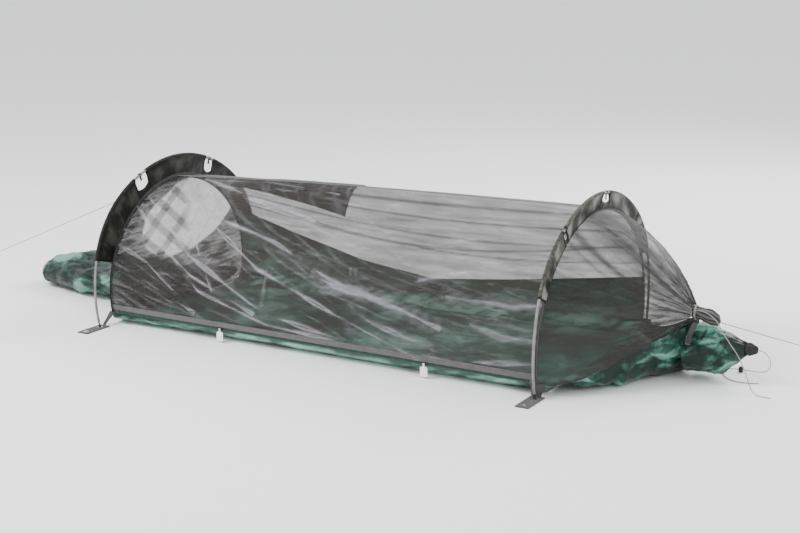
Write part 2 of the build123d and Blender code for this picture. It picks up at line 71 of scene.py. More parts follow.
# ---- Materials --------------------------------------------------------------
class Shader:
    """A Principled material and short ways to add nodes to it."""

    def __init__(self, name, color, roughness, **sockets):
        self.material = bpy.data.materials.new(name)
        self.material.use_nodes = True
        self.nodes = self.material.node_tree.nodes
        self.surface = self.nodes["Principled BSDF"]
        self.surface.inputs["Base Color"].default_value = (*color, 1)
        self.surface.inputs["Roughness"].default_value = roughness
        self.surface.inputs["Specular IOR Level"].default_value = 0.22
        for socket, value in sockets.items():
            self.surface.inputs[socket.replace("_", " ").title()].default_value = value

    def join(self, source, target):
        self.material.node_tree.links.new(source, target)

    def coordinates(self, scale=(1, 1, 1), rotation=(0, 0, 0)):
        """Object coordinates, turned and scaled."""
        place = self.nodes.new("ShaderNodeTexCoord")
        mapping = self.nodes.new("ShaderNodeMapping")
        mapping.inputs["Scale"].default_value = scale
        mapping.inputs["Rotation"].default_value = rotation
        self.join(place.outputs["Object"], mapping.inputs["Vector"])
        return mapping.outputs["Vector"]

    def noise(self, vector, scale, detail=4, rough=0.55):
        texture = self.nodes.new("ShaderNodeTexNoise")
        texture.inputs["Scale"].default_value = scale
        texture.inputs["Detail"].default_value = detail
        texture.inputs["Roughness"].default_value = rough
        self.join(vector, texture.inputs["Vector"])
        return texture.outputs["Fac"]

    def wave(self, vector, scale, direction, distortion=0.0):
        texture = self.nodes.new("ShaderNodeTexWave")
        texture.bands_direction = direction
        texture.inputs["Scale"].default_value = scale
        texture.inputs["Distortion"].default_value = distortion
        self.join(vector, texture.inputs["Vector"])
        return texture.outputs["Fac"]

    def attribute(self, name):
        reader = self.nodes.new("ShaderNodeAttribute")
        reader.attribute_name = name
        return reader.outputs["Fac"]

    def math(self, kind, a, b):
        node = self.nodes.new("ShaderNodeMath")
        node.operation = kind
        for socket, value in zip(node.inputs, (a, b)):
            if isinstance(value, (int, float)):
                socket.default_value = value
            else:
                self.join(value, socket)
        return node.outputs["Value"]

    def ramp(self, factor, stops):
        node = self.nodes.new("ShaderNodeValToRGB")
        elements = node.color_ramp.elements
        while len(elements) < len(stops):
            elements.new(0.5)
        for element, (position, color) in zip(elements, stops):
            element.position = position
            element.color = (*color, 1)
        self.join(factor, node.inputs["Fac"])
        return node.outputs["Color"]

    def tint(self, factor, stops):
        """Base colour from a factor."""
        self.join(self.ramp(factor, stops), self.surface.inputs["Base Color"])

    def gloss(self, factor, low, high):
        """Roughness between two values along a factor."""
        span = self.math("MULTIPLY", factor, high - low)
        self.join(self.math("ADD", span, low), self.surface.inputs["Roughness"])

    def bump(self, factor, distance, strength=0.6):
        node = self.nodes.new("ShaderNodeBump")
        node.inputs["Distance"].default_value = distance
        node.inputs["Strength"].default_value = strength
        self.join(factor, node.inputs["Height"])
        earlier = self.surface.inputs["Normal"].links
        if earlier:
            self.join(earlier[0].from_socket, node.inputs["Normal"])
        self.join(node.outputs["Normal"], self.surface.inputs["Normal"])


def weave_of(shader, pitch, rotation=(0, 0, 0)):
    """Fine over-and-under weave height."""
    vector = shader.coordinates((1, 1, 1), rotation)
    scale = 1 / pitch / 3.2
    across = shader.wave(vector, scale, "X")
    up = shader.wave(vector, scale, "Z")
    side = shader.wave(vector, scale, "Y")
    return shader.math("MULTIPLY", shader.math("MAXIMUM", across, side), up)


def net_material(name, own, crease, thin, thick):
    """See-through insect net; its folds lie double, so they are denser, and the crease colour on them is
    painted light: a painted highlight where it is pale, painted shade where it is dark.
    """
    shader = Shader(name, own, 0.6, sheen_weight=0.03)
    fold = shader.attribute("fold")
    patches = shader.noise(shader.coordinates((1, 1, 2.2), (0, 0.35, 0)), 6, 3)
    streaks = shader.noise(shader.coordinates((3, 3, 24), (0, 0.36, 0)), 3, 3, 0.65)
    broken = shader.math("MULTIPLY", fold, shader.math("ADD", shader.math("MULTIPLY", streaks, 1.3), 0.3))
    # lit: painted highlight, bright streaks added to the fold colour
    lit = shader.math("MAXIMUM", shader.math("MULTIPLY", shader.math("SUBTRACT", streaks, 0.56), 2.4), 0.0)
    shade = shader.math("ADD", broken, shader.math("MULTIPLY", lit, 0.7))
    shader.tint(shade, [(0.0, own), (0.08, own), (0.95, crease)])
    mesh = weave_of(shader, 0.0016)
    density = shader.math("ADD", shader.math("MULTIPLY", broken, thick - thin), thin)
    uneven = shader.math("MULTIPLY", shader.math("SUBTRACT", patches, 0.5), 0.3)
    banded = shader.math("MULTIPLY", shader.math("SUBTRACT", streaks, 0.5), -0.22)
    grain = shader.math("MULTIPLY", shader.math("SUBTRACT", mesh, 0.3), 0.06)
    alpha = shader.math("ADD", shader.math("ADD", density, uneven), shader.math("ADD", grain, banded))
    shader.join(alpha, shader.surface.inputs["Alpha"])
    shader.bump(streaks, 0.003, 0.2)
    return shader.material


def cloth_material(name, dark, mid, pale, roughness=0.38, ripstop=0.0055, sheen=0.15):
    """Coated woven nylon: painted light and shade from the mesh's own folds as its colour, ripstop grid and
    weave.
    """
    shader = Shader(name, mid, roughness, sheen_weight=sheen)
    fold = shader.attribute("fold")
    stain = shader.noise(shader.coordinates(), 22, 4, 0.5)
    # Painted light and shade: the fold value, with a little random stain, picks the dark, mid or pale
    # colour.
    mix = shader.math("ADD", shader.math("MULTIPLY", fold, 0.75), shader.math("MULTIPLY", stain, 0.25))
    shader.tint(mix, [(0.22, dark), (0.47, mid), (0.8, pale)])
    shader.gloss(stain, roughness - 0.1, roughness + 0.15)
    vector = shader.coordinates()
    grid = shader.math(
        "MAXIMUM",
        shader.wave(vector, 0.314 / ripstop, "X"),
        shader.wave(vector, 0.314 / ripstop, "Z"),
    )
    shader.bump(shader.math("POWER", grid, 12.0), 0.00025, 0.5)
    shader.bump(weave_of(shader, 0.0009), 0.0001, 0.4)
    shader.bump(shader.noise(shader.coordinates(), 30, 3), 0.002, 0.25)
    return shader.material


def webbing_material(name, dark, pale, pitch=0.0022):
    """Coarse woven tape with worn, paler raised threads."""
    shader = Shader(name, dark, 0.75, sheen_weight=0.3)
    weave = weave_of(shader, pitch)
    wear = shader.noise(shader.coordinates(), 55, 5)
    worn = shader.math("ADD", shader.math("MULTIPLY", weave, 0.55), shader.math("MULTIPLY", wear, 0.45))
    shader.tint(worn, [(0.2, dark), (0.8, pale)])
    shader.bump(weave, 0.0006, 0.8)
    return shader.material


def cord_material(name, dark, pale):
    """Braided cord."""
    shader = Shader(name, pale, 0.7, sheen_weight=0.3)
    braid = shader.wave(shader.coordinates((1, 1, 1), (0.5, 0.6, 0.4)), 170, "DIAGONAL", 1.0)
    shader.tint(braid, [(0.1, dark), (0.7, pale)])
    shader.bump(braid, 0.0004, 0.9)
    return shader.material


def hard_material(name, dark, pale, roughness, metallic=0.0, grain=60):
    """Metal or moulded plastic with scuffs and an uneven gloss."""
    shader = Shader(name, pale, roughness, metallic=metallic)
    scuff = shader.noise(shader.coordinates(), grain, 7, 0.65)
    shader.tint(scuff, [(0.3, dark), (0.6, pale)])
    shader.gloss(scuff, max(0.08, roughness - 0.12), roughness + 0.18)
    shader.bump(shader.noise(shader.coordinates(), grain * 9, 3), 0.00015, 0.4)
    return shader.material


# The near net's pale crease colour is a painted highlight on its folds; the far net's dark crease colour is
# painted shade on its folds and painted shadows of the poles.
net = net_material("net", (0.036, 0.031, 0.027), (0.33, 0.32, 0.355), 0.5, 0.8)
far_net_cloth = net_material("far_net", (0.098, 0.082, 0.066), (0.018, 0.016, 0.014), 0.6, 0.94)
cone_net = net_material("cone_net", (0.03, 0.027, 0.024), (0.022, 0.02, 0.018), 0.5, 0.97)
bunch_net = cloth_material(
    "bunched_net", (0.018, 0.018, 0.018), (0.05, 0.05, 0.05), (0.13, 0.13, 0.13), 0.6
)
green = cloth_material(
    "green_nylon", (0.002, 0.012, 0.008), (0.012, 0.062, 0.043), (0.12, 0.27, 0.21), 0.34, sheen=0.03
)
# Paler, lit copy of the green nylon for the floor band: painted light.
floor_green_painted_light = cloth_material(
    "floor_green_painted_light", (0.003, 0.016, 0.011), (0.03, 0.125, 0.09), (0.24, 0.46, 0.37), 0.36, sheen=0.05
)
inner_green = cloth_material(
    "inner_green", (0.008, 0.034, 0.024), (0.034, 0.098, 0.072), (0.12, 0.24, 0.19), 0.5
)
dark_cloth = cloth_material(
    "hood_nylon", (0.01, 0.01, 0.011), (0.026, 0.028, 0.03), (0.07, 0.07, 0.075), 0.55
)
binding_cloth = webbing_material("binding", (0.004, 0.004, 0.003), (0.022, 0.02, 0.017), 0.0018)
# Shaded and lit copies of one sleeve fabric: painted shade on the head hoop's sleeves, painted light on the
# foot hoop's sleeves.
sleeve_painted_shade = cloth_material(
    "sleeve_painted_shade", (0.002, 0.002, 0.002), (0.006, 0.007, 0.005), (0.032, 0.033, 0.026), 0.6, sheen=0.0
)
sleeve_painted_light = cloth_material(
    "sleeve_painted_light", (0.004, 0.004, 0.003), (0.05, 0.049, 0.04), (0.19, 0.19, 0.165), 0.6, sheen=0.02
)
band_grey = webbing_material("band_grey", (0.06, 0.055, 0.056), (0.135, 0.125, 0.128), 0.0018)
seam_grey = webbing_material("seam_grey", (0.05, 0.05, 0.05), (0.12, 0.12, 0.12), 0.0018)
dark_webbing = webbing_material("dark_webbing", (0.01, 0.01, 0.01), (0.042, 0.041, 0.039))
grey_webbing = webbing_material("grey_webbing", (0.022, 0.022, 0.021), (0.062, 0.06, 0.056))
pale_webbing = webbing_material("pale_webbing", (0.3, 0.32, 0.28), (0.5, 0.52, 0.46))
zip_green = webbing_material("zip_green", (0.008, 0.03, 0.02), (0.03, 0.08, 0.055), 0.0012)
braid = cord_material("braid", (0.14, 0.125, 0.1), (0.34, 0.315, 0.265))
alloy = hard_material("pole_alloy", (0.12, 0.12, 0.115), (0.26, 0.255, 0.24), 0.42, 0.5, 30)
plated = hard_material("plated", (0.5, 0.48, 0.42), (0.78, 0.76, 0.7), 0.3, 1.0, 120)
black_plastic = hard_material("black_plastic", (0.01, 0.01, 0.01), (0.03, 0.03, 0.03), 0.45)
slider_paint = hard_material("slider_paint", (0.012, 0.012, 0.012), (0.05, 0.05, 0.05), 0.4, 0.4, 200)
white_plastic = hard_material("white_plastic", (0.74, 0.74, 0.73), (0.86, 0.86, 0.85), 0.45)
rubber = hard_material("rubber", (0.008, 0.008, 0.008), (0.025, 0.025, 0.025), 0.7)


def finish_node(node, material):
    """Gives a carried-over CAD node its material."""
    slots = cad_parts[node].data.materials
    slots.clear()
    slots.append(material)


for part_name, material in (
    ("pole_near", alloy),
    ("pole_crown", alloy),
    ("pole_far", alloy),
    ("pole_ferrules", plated),
    ("shock_cord", braid),
    ("pole_tips", black_plastic),
    ("pole_hooks", black_plastic),
):
    for end in ("head", "foot"):
        finish_node(f"{end}_{part_name}", material)

coil_shader = Shader("coil", (0.02, 0.06, 0.04), 0.4)
teeth = coil_shader.wave(coil_shader.coordinates(), 180, "X")
coil_shader.tint(teeth, [(0.2, (0.006, 0.02, 0.014)), (0.7, (0.04, 0.11, 0.08))])
coil_shader.bump(teeth, 0.0008, 1.0)
for node_name, material in (
    ("zip_tapes", zip_green),
    ("zip_coil", coil_shader.material),
    ("zip_stops", slider_paint),
    ("zip_slider_head", slider_paint),
    ("zip_slider_foot", slider_paint),
    ("zip_pull_head", white_plastic),
    ("zip_pull_foot", white_plastic),
    ("stake_tabs", dark_webbing),
    ("pole_grommets", plated),
    ("stake_eyelets", plated),
    ("cord_lock_barrel", black_plastic),
    ("cord_lock_button", black_plastic),
    ("cord_lock_spring", plated),
):
    finish_node(node_name, material)


# ---- Mesh helpers -----------------------------------------------------------
def build(name, points, faces, material, folds=None):
    """Mesh object with smooth faces and an optional fold value, 0 to 1, at each vertex, which the materials
    use for painted light and shade, and on the nets for density too.
    """
    mesh = bpy.data.meshes.new(name)
    mesh.from_pydata(points, [], faces)
    mesh.polygons.foreach_set("use_smooth", [True] * len(mesh.polygons))
    if folds is not None:
        layer = mesh.attributes.new("fold", "FLOAT", "POINT")
        layer.data.foreach_set("value", folds)
    mesh.materials.append(material)
    piece = bpy.data.objects.new(name, mesh)
    scene.collection.objects.link(piece)
    return piece


def grid(name, columns, rows, place, material, wrap=False):
    """Grid of place(u, v) -> (point, fold), u and v from 0 to 1; wrap joins the last row to the first."""
    points, folds = [], []
    across = rows if wrap else rows + 1
    for i in range(columns + 1):
        for j in range(across):
            point, fold = place(i / columns, j / rows)
            points.append(point)
            folds.append(min(1.0, max(0.0, fold)))
    faces = []
    for i in range(columns):
        for j in range(rows):
            a, b = i * across + j, i * across + (j + 1) % across
            faces.append((a, b, b + across, a + across))
    return build(name, points, faces, material, folds)


def through(table, x):
    """Each column of a table of (x, value, ...) rows at x, on the one curve through every row."""
    totals = [0.0] * (len(table[0]) - 1)
    for row in table:
        weight = 1.0
        for other in table:
            if other is not row:
                weight *= (x - other[0]) / (row[0] - other[0])
        totals = [total + weight * value for total, value in zip(totals, row[1:])]
    return totals


def between(table, x):
    """Each column at x, eased from one row of the table to the next."""
    rows = sorted(table)
    x = min(max(x, rows[0][0]), rows[-1][0])
    for low, high in zip(rows, rows[1:]):
        if x <= high[0]:
            part = (x - low[0]) / (high[0] - low[0])
            return [a + (b - a) * part for a, b in zip(low[1:], high[1:])]
    return list(rows[-1][1:])


def arch(side, half_width, low, top, bulge, rise, run, t):
    """(y, z) on a cubic from the edge, at t 0, to the middle, at t 1."""
    ys = (half_width, half_width * (1 + bulge), half_width * run, 0)
    zs = (low, low + rise * (top - low), top, top)
    weights = ((1 - t) ** 3, 3 * t * (1 - t) ** 2, 3 * t * t * (1 - t), t**3)
    return (
        side * sum(w * y for w, y in zip(weights, ys)),
        sum(w * z for w, z in zip(weights, zs)),
    )


random.seed(7)
FOLDS = [
    (
        Vector([random.gauss(0, 1) for _ in range(3)]).normalized(),
        random.uniform(0, 2),
        random.uniform(0.7, 1.6),
    )
    for _ in range(24)
]


def crumple(p, size, first=0, count=6):
    """Sharp creases with flat facets between them, about -0.5 to 0.5."""
    total = 0.0
    for n in range(first, first + count):
        direction, phase, stretch = FOLDS[n % len(FOLDS)]
        warp = 0.55 * noise.noise(p * (0.7 / size) + Vector((n, 0, 0)))
        total += abs((p.dot(direction) / (size * stretch) + phase + warp) % 2 - 1) - 0.5
    return total / count**0.5 * 0.9


def facets(p, size, first=0, count=6):
    """Painted light: how far each flat facet of crumple() turns to the light, about -1 to 1, with painted
    shade along its valleys.
    """
    total, painted_valley_shade = 0.0, 0.0
    for n in range(first, first + count):
        direction, phase, stretch = FOLDS[n % len(FOLDS)]
        warp = 0.55 * noise.noise(p * (0.7 / size) + Vector((n, 0, 0)))
        turn = (p.dot(direction) / (size * stretch) + phase + warp) % 2
        total += (0.4 + abs(direction.z)) * (1 if (turn >= 1) == (direction.z > 0) else -1)
        broken = noise.noise(p * (0.9 / size) + Vector((0, n * 3, 0))) + 0.25
        # painted shade along each crease's valley
        painted_valley_shade = max(painted_valley_shade, min(1.0, max(0.0, broken * 4)) * max(0.0, 1 - abs(turn - 1) / 0.16))
    return total / count**0.5 - 1.1 * painted_valley_shade


def crushed(p, size, first):
    """(height, painted facet light) of large facets with smaller creases across them."""
    height = crumple(p, size, first, 5) * 0.8 + crumple(p, size * 0.38, first + 5, 4) * 0.35
    painted_facet_light = facets(p, size, first, 5) * 0.6 + facets(p, size * 0.38, first + 5, 4) * 0.4
    return height, painted_facet_light


def ridges(across, along, seed):
    """Narrow raised folds, 0 to 1, that run where along grows and across stays."""
    value = noise.noise(Vector((across, along, seed)))
    finer = noise.noise(Vector((across * 2.3, along * 1.7, seed + 9)))
    return max(0.0, 1 - abs(value) * 5) ** 2 * 0.75 + max(0.0, 1 - abs(finer) * 6) ** 2 * 0.4


# ---- Cords ------------------------------------------------------------------
cord_r = 0.0015


def smooth_line(route):
    """Points along the NURBS spline that has the route's points as control points."""
    curve = bpy.data.curves.new("route", "CURVE")
    curve.dimensions = "3D"
    curve.resolution_u = 12
    spline = curve.splines.new("NURBS")
    spline.points.add(len(route) - 1)
    for point, place in zip(spline.points, route):
        point.co = (*place, 1)
    spline.order_u = 3
    spline.use_endpoint_u = True
    carrier = bpy.data.objects.new("route", curve)
    mesh = bpy.data.meshes.new_from_object(carrier)
    line = [vertex.co.copy() for vertex in mesh.vertices]
    bpy.data.objects.remove(carrier)
    bpy.data.curves.remove(curve)
    bpy.data.meshes.remove(mesh)
    return line


def ring_faces(rings, sides):
    """Faces between rings of points, and a cap at each end."""
    faces = []
    for n in range(rings - 1):
        for k in range(sides):
            a, b = n * sides + k, n * sides + (k + 1) % sides
            faces.append((a, b, b + sides, a + sides))
    first_of_last = (rings - 1) * sides
    faces.append(tuple(range(sides)))
    faces.append(tuple(range(first_of_last, first_of_last + sides))[::-1])
    return faces


def tube(name, line, radius, material, sides=10):
    """Round tube along a line of points."""
    points = []
    across = Vector((0, 1, 0))
    for n, here in enumerate(line):
        ahead = line[min(n + 1, len(line) - 1)] - line[max(n - 1, 0)]
        ahead.normalize()
        across = (across - ahead * across.dot(ahead)).normalized()
        up = ahead.cross(across)
        for k in range(sides):
            angle = TURN * k / sides
            points.append(here + (across * math.cos(angle) + up * math.sin(angle)) * radius)
    return build(name, points, ring_faces(len(line), sides), material)


def finish_soft(piece, node, body="root", fold=True):
    """Puts a soft piece on its body, in place of its CAD node."""
    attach(piece, body)
    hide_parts(node)
    if fold:
        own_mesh(piece)
    return piece


def knot_loop(name, knot, tip):
    """Tied loop with its knot at the far end of a guy line."""
    start, end = Vector(knot), Vector(tip)
    away = (end - start).normalized()
    sideways = Vector((0, 1, 0))
    length = (end - start).length
    route = [
        start + away * length * reach + sideways * spread
        for reach, spread in (
            (0.0, 0.002), (0.3, 0.006), (0.7, 0.013), (1.0, 0.011), (1.06, 0.0),
            (1.0, -0.011), (0.7, -0.013), (0.3, -0.006), (0.0, -0.002),
        )
    ]
    line = smooth_line(route)
    for n in range(40):
        angle = TURN * n / 10
        up = away.cross(sideways)
        line.append(
            start + away * (0.0075 - 0.009 * n / 40)
            + (sideways * math.cos(angle) + up * math.sin(angle)) * 0.0025
        )
    return tube(name, line, cord_r * 0.85, braid, 8)


head_guy_route = ((-0.877, 0, 0.5045), (-1.452, 0, 0.262), (-2.026, 0, 0.022))
foot_guy_route = ((1.4145, 0, 0.2), (1.566, 0, 0.1755), (1.728, 0, 0.1515))
tie_cord_route = (
    (1.33, -0.027, 0.236), (1.352, -0.038, 0.243), (1.378, -0.046, 0.24),
    (1.403, -0.055, 0.231), (1.428, -0.068, 0.214), (1.449, -0.082, 0.188),
    (1.474, -0.09, 0.16), (1.5, -0.09, 0.128), (1.52, -0.086, 0.092),
    (1.535, -0.084, 0.054), (1.548, -0.09, 0.022), (1.566, -0.104, 0.005),
    (1.592, -0.118, 0.0018), (1.626, -0.116, 0.0017),
)
tip_cord_route = (
    (1.545, 0, 0.122), (1.56, 0, 0.122), (1.574, 0.01, 0.108),
    (1.58, 0.026, 0.088), (1.576, 0.052, 0.062), (1.562, 0.084, 0.036),
    (1.542, 0.112, 0.018), (1.514, 0.128, 0.0096), (1.478, 0.13, 0.009),
    (1.426, 0.1295, 0.009), (1.404, 0.12, 0.006), (1.4, 0.096, 0.0024),
    (1.41, 0.068, 0.0018), (1.428, 0.04, 0.0017), (1.452, 0.016, 0.0016),
    (1.486, 0.006, 0.0017), (1.52, 0.012, 0.0016), (1.548, 0.024, 0.0016),
)
head_loop = finish_soft(
    knot_loop("head_guy_loop_end", (-2.031, 0, 0.02), (-2.072, 0, 0.0045)), "head_guy_knot"
)
foot_loop = finish_soft(
    knot_loop("foot_guy_loop_end", (1.733, 0, 0.1508), (1.775, 0, 0.1443)), "foot_guy_knot"
)
for name, route, length, far_end, lay, pieces in (
    ("head_guy_line", head_guy_route, 1.246, "knot", "taut", [head_loop]),
    ("foot_guy_line", foot_guy_route, 0.317, "knot", "taut", [foot_loop]),
    ("tie_cord", tie_cord_route, 0.436, "bare", "loose", []),
    (
        "tip_cord", tip_cord_route, 0.543, "bare", "loose",
        ["cord_lock_barrel", "cord_lock_button", "cord_lock_spring"],
    ),
):
    line = smooth_line(route)
    piece = finish_soft(tube(f"{name}_braid", line, cord_r, braid), name)

# ---- Net and cloth between the hoops ----------------------------------------
gap = 0.003  # from a hoop's middle to the panels' edges
# bulge, rise and run of arch() at the hoops and between them
HOOP_ARCH = (0.12, 0.55, 0.58)
SLACK_ARCH = (0.05, 0.5, 0.5)
hem_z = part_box("near_net_panel")[0][2]
# x, half width, ridge height, bulge, rise, run
canopy = (
    (head_x + gap, 0.425, 0.514, *HOOP_ARCH),
    ((head_x + foot_x) / 2, 0.45, 0.543, *SLACK_ARCH),
    (foot_x - gap, 0.475, 0.545, *HOOP_ARCH),
)


def panel_x(u):
    """x along a panel that fills the space between the hoops, from 0 at the head to 1 at the foot."""
    return head_x + gap + u * (foot_x - head_x - 2 * gap)


def sack_part(x):
    """0 at the head hoop and 1 at the foot hoop."""
    return (x - head_x) / (foot_x - head_x)


def canopy_point(side, x, t, low):
    half_width, top, bulge, rise, run = through(canopy, x)
    return arch(side, half_width, low, top, bulge, rise, run, t)


def outward(y, z):
    """Rough outward direction of the canopy at a point."""
    return Vector((0, y, max(0.0, z - 0.12) * 1.2)).normalized()


def fade(x):
    """0 at the hoops and 1 away from them."""
    return min(1.0, (x - head_x) / 0.1, (foot_x - x) / 0.1)


# points along each pulled fold of the near side, as shares of its length and girth,
# then its half width and strength; each fold makes the net denser and carries a painted highlight
near_folds = (
    (((0.0, 0.36), (0.085, 0.284), (0.235, 0.041)), 0.005, 0.7),
    (((0.0, 0.26), (0.094, 0.177), (0.219, 0.055)), 0.004, 0.6),
    (((0.0, 0.62), (0.109, 0.404), (0.23, 0.167), (0.404, 0.051), (0.591, 0.028)), 0.006, 0.85),
    (((0.0, 0.455), (0.113, 0.383), (0.204, 0.243), (0.368, 0.097)), 0.0055, 0.8),
    (((0.0, 0.72), (0.189, 0.345), (0.395, 0.108), (0.575, 0.041)), 0.0065, 0.85),
    (((0.05, 0.84), (0.172, 0.599), (0.361, 0.322), (0.515, 0.195), (0.751, 0.005)), 0.0055, 0.85),
    (
        ((0.12, 0.7), (0.202, 0.586), (0.38, 0.473), (0.531, 0.32), (0.633, 0.257), (0.796, 0.163)),
        0.008, 0.8,
    ),
    (((0.1, 0.93), (0.211, 0.804), (0.347, 0.69), (0.45, 0.616)), 0.012, 0.75),
    (((0.27, 0.733), (0.4, 0.622), (0.591, 0.477)), 0.015, 0.65),
    (((0.02, 0.86), (0.091, 0.907), (0.267, 0.944), (0.457, 0.84)), 0.006, 0.6),
    (((0.5, 0.33), (0.55, 0.287), (0.646, 0.262), (0.796, 0.163)), 0.017, 0.8),
    (((0.735, 0.367), (0.83, 0.433), (0.928, 0.479), (1.0, 0.5)), 0.013, 0.6),
    (((0.8, 0.31), (0.837, 0.306), (0.943, 0.303), (1.0, 0.33)), 0.016, 0.6),
    (((0.763, 0.019), (0.887, 0.039), (0.982, 0.065)), 0.008, 0.6),
    (((0.05, 0.8), (0.098, 0.621), (0.187, 0.452), (0.263, 0.181)), 0.007, 0.75),
    (((0.377, 0.492), (0.383, 0.412), (0.389, 0.147)), 0.004, 0.45),
    (((0.6, 0.2), (0.644, 0.145), (0.784, 0.065)), 0.009, 0.6),
    (((0.488, 0.506), (0.61, 0.58), (0.722, 0.534), (0.815, 0.614)), 0.006, 0.5),
    (((0.0, 0.16), (0.12, 0.09), (0.26, 0.02)), 0.004, 0.45),
    (((0.7, 0.72), (0.84, 0.66), (1.0, 0.62)), 0.007, 0.45),
    (((0.3, 0.86), (0.52, 0.76), (0.74, 0.72), (1.0, 0.76)), 0.005, 0.4),
    (((0.86, 0.2), (0.93, 0.16), (1.0, 0.17)), 0.011, 0.5),
)
NEAR_COLUMNS, NEAR_ROWS = 640, 190


def fold_field(columns, rows, lines, length, girth):
    """Fold strength at each grid point, from the nearest stretch of each line."""
    u, v = np.meshgrid(np.linspace(0, 1, columns + 1), np.linspace(0, 1, rows + 1), indexing="ij")
    x, y = u * length, v * girth
    total = np.zeros_like(x)
    for number, (line, half_width, strength) in enumerate(lines):
        nearest = np.full_like(x, 9.0)
        for (u0, v0), (u1, v1) in zip(line, line[1:]):
            ax, ay, bx, by = u0 * length, v0 * girth, (u1 - u0) * length, (v1 - v0) * girth
            along = np.clip(((x - ax) * bx + (y - ay) * by) / (bx * bx + by * by), 0, 1)
            nearest = np.minimum(nearest, np.hypot(x - ax - along * bx, y - ay - along * by))
        wobble = 0.006 * np.sin(x * 21 + number * 2) * np.sin(y * 17 + number)
        wide = (0.0022 + half_width * 0.42) * (1 + 0.4 * np.sin(x * 13 + y * 9 + number * 1.7))
        frayed = 0.62 + 0.38 * np.sin(x * 90 + 3 * np.sin(y * 63 + number)) * np.sin(y * 150 - x * 34)
        core = strength * np.exp(-(((nearest + wobble) / wide) ** 2))
        # glow: a broad painted sheen beside each fold
        glow = 0.55 * strength * frayed * np.exp(-((nearest / (0.006 + half_width * 1.5)) ** 2))
        core *= 0.75 + 0.25 * frayed
        glow *= min(1.0, half_width / 0.012)
        total = np.maximum(total, np.maximum(core, glow))
    return total


near_field = fold_field(NEAR_COLUMNS, NEAR_ROWS, near_folds, foot_x - head_x, 0.74)


def near_place(u, v):
    x = panel_x(u)
    y, z = canopy_point(-1, x, v, hem_z)
    pulled = near_field[round(u * NEAR_COLUMNS), round(v * NEAR_ROWS)]
    part = sack_part(x)
    fine = ridges((z + 0.95 * part - 0.42 * part * part) * 30, part * 5, 1.0) * 0.3
    doubled = max(0.0, 1 - 6 * v - 5 * u) * 0.25
    # fold makes the net denser and carries the net's painted highlight
    fold = max(pulled, fine) + doubled
    swell = noise.noise(Vector((x * 3, z * 5, 4))) * 0.008 * min(v * 4, (1 - v) * 4, 1)
    return Vector((x, y, z)) + outward(y, z) * ((pulled * 0.005 + fine * 0.002 + swell) * fade(x)), fold


near_net = finish_soft(grid("near_net", NEAR_COLUMNS, NEAR_ROWS, near_place, net), "near_net_panel")

wall_line = (
    (head_x - 0.02, 0.345),
    (-0.56, 0.24),
    (-0.24, 0.15),
    (0.08, 0.106),
    (0.42, 0.14),
    (foot_x + 0.02, 0.214),
)
rim_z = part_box("floor_tub")[1][2]


def wall_t(x):
    """Where the far cloth wall's top edge lies on the canopy's arch."""
    height = between(wall_line, x)[0]
    low, high = 0.0, 1.0
    for _ in range(18):
        middle = (low + high) / 2
        if canopy_point(1, x, middle, rim_z)[1] < height:
            low = middle
        else:
            high = middle
    return low


def far_point(x, t, inward, fold):
    y, z = canopy_point(1, x, t, rim_z)
    return Vector((x, y, z)) + outward(y, z) * (inward * fade(x)), fold


def far_wall_place(u, v):
    x = panel_x(u)
    t = v * wall_t(x)
    y, z = canopy_point(1, x, t, rim_z)
    crease, painted_facet_light = crushed(Vector((x * 0.6, 0, z)), 0.12, 3)
    ridge = ridges(z * 16 + x * 2.5, x * 3, 5.0)
    rise = (crease * 0.012 + ridge * 0.004) * min(1, v * 5) * min(1, (1 - v) * 5 + 0.25)
    # Colour: painted light and shade from the crease height, the facets' turn to the light and the ridges.
    return far_point(x, t, rise, 0.45 + crease * 0.4 + painted_facet_light * 0.25 + ridge * 0.3)


def hood_edge(y):
    return 0.04 - 0.9 * y


def hood_place(u, v):
    x = head_x + gap
    t = 0.5
    for _ in range(6):
        y = canopy_point(1, x, t, rim_z)[0]
        x = head_x + gap + u * (hood_edge(y) - head_x - gap)
        low = wall_t(x) + (0.46 - 0.14 * u) * (1 - wall_t(x))
        t = low + v * (1 - low)
    crease = crumple(Vector((x, 0, t * 0.6)), 0.13, 8, 4)
    rise = 0.003 + crease * 0.004 * min(1, (1 - v) * 8)
    ridge_shade = 1 - 0.9 * max(0.0, v - 0.85) / 0.15
    # Colour: painted light and shade from the crease height, with painted shade towards the ridge.
    return far_point(x, t, rise, (0.5 + crease * 0.8) * ridge_shade)


# height at the head and at the foot, and half width, of painted pole shadows: dark lines across the far net
painted_pole_shadows = (
    (0.505, 0.47, 0.01),
    (0.47, 0.4, 0.006),
    (0.43, 0.33, 0.005),
    (0.375, 0.345, 0.006),
    (0.4, 0.268, 0.004),
)


def far_net_place(u, v):
    x = panel_x(u)
    t = wall_t(x) + v * (1 - wall_t(x))
    z = canopy_point(1, x, t, rim_z)[1]
    part = sack_part(x)
    # Fold: painted shade on the fine folds and the painted pole shadows, raised by rim towards the ridge.
    fold = ridges(z * 22 + 0.4 * x, x * 1.3, 12.0) * 0.5
    for first, last, width in painted_pole_shadows:
        line = first + (last - first) * part - 0.1 * math.sin(math.pi * part) * (0.55 - first) / 0.15
        fold = max(fold, 0.85 * math.exp(-(((z - line) / width) ** 2)))
    rim = max(0.0, (v - 0.86) / 0.14)
    return far_point(x, t, fold * 0.002 - 0.002, max(fold, min(0.8, rim * 1.4)))


far_wall = finish_soft(
    grid("far_wall", 260, 34, far_wall_place, inner_green), "far_side_wall"
)
hood = finish_soft(grid("hood", 90, 60, hood_place, dark_cloth), "hood_panel")
far_net = finish_soft(grid("far_net", 260, 100, far_net_place, far_net_cloth), "far_net_panel")


